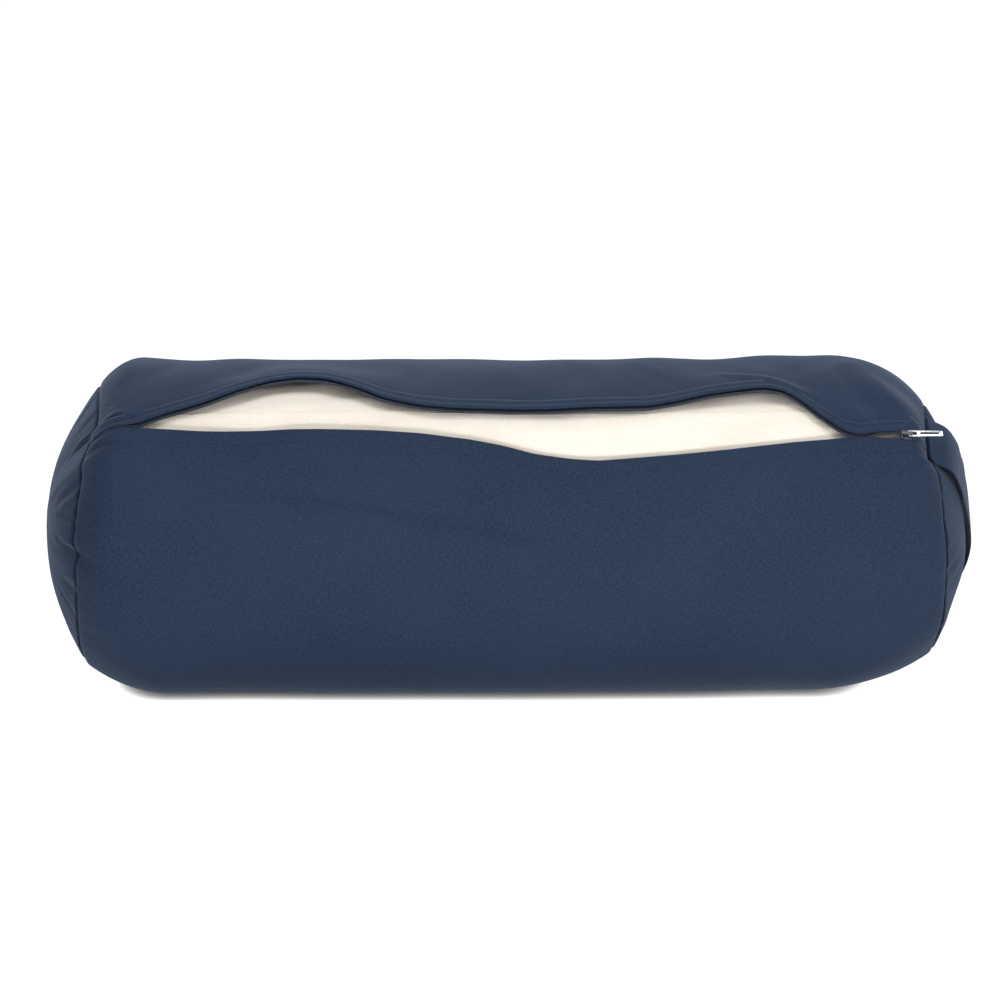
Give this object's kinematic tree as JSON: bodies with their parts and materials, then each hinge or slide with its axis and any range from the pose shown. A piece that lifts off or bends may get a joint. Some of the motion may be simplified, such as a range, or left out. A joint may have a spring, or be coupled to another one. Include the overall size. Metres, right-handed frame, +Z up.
{
  "type": "bolster pillow",
  "caption": "Round bolster pillow: domed roll in a removable cover open along its lengthwise zip, cotton insert inside, carrying strap across one end.",
  "frame": {"origin": "centre of the flat that the roll rests on", "axes": "+X along the roll towards the end with the carrying strap, +Z up, zip on the -Y side"},
  "size_m": [0.7012, 0.2539, 0.247],
  "materials": {
    "canvas": "matte",
    "navy_thread": "matte",
    "zip_tape": "matte",
    "zip_coil": "satin",
    "zip_metal": "satin",
    "liner": "matte",
    "cream_thread": "matte",
    "filling": "matte"
  },
  "bodies": {
    "root": {"filling": "filling", "liner_tube": "liner", "liner_end_left": "liner", "liner_end_right": "liner", "liner_seam_thread": "cream_thread", "cover_tube": "canvas", "cover_end_left": "canvas", "cover_end_right": "canvas", "end_seam_thread_left": "navy_thread", "end_seam_thread_right": "navy_thread", "handle_end_front": "canvas", "handle_end_back": "canvas"},
    "slider": {"zip_slider": "zip_metal"},
    "pull": {"zip_pull": "zip_metal"},
    "upper_lip": {"zip_tape_upper": "zip_tape", "zip_coil_upper": "zip_coil", "hem_stitch_upper": "navy_thread"},
    "lower_lip": {"zip_tape_lower": "zip_tape", "zip_coil_lower": "zip_coil", "hem_stitch_lower": "navy_thread"},
    "handle": {"handle_strap": "canvas"}
  },
  "joints": [
    {"name": "zip_close", "type": "slide", "parent": "root", "child": "slider", "axis": [-1, 0, 0], "range_m": [0, 0.56]},
    {"name": "pull_flip", "type": "hinge", "parent": "slider", "child": "pull", "pos_m": [0.2832, -0.09294, 0.20975], "axis": [0, -0.6947, -0.7193], "range_deg": [0, 150]},
    {"name": "upper_lip_close", "type": "hinge", "parent": "root", "child": "upper_lip", "pos_m": [0, 0, 0.12], "axis": [1, 0, 0], "range_deg": [0, 27], "deforming": ["zip_tape_upper", "zip_coil_upper", "hem_stitch_upper"]},
    {"name": "lower_lip_close", "type": "hinge", "parent": "root", "child": "lower_lip", "pos_m": [0, 0, 0.12], "axis": [-1, 0, 0], "range_deg": [0, 11], "deforming": ["zip_tape_lower", "zip_coil_lower", "hem_stitch_lower"]},
    {"name": "handle_lift", "type": "slide", "parent": "root", "child": "handle", "axis": [1, 0, 0], "range_m": [0, 0.008]}
  ],
  "couplings": [
    {"joint": "upper_lip_close", "follows": "zip_close", "rad_per_m": 0.81033},
    {"joint": "lower_lip_close", "follows": "zip_close", "rad_per_m": 0.31167}
  ]
}
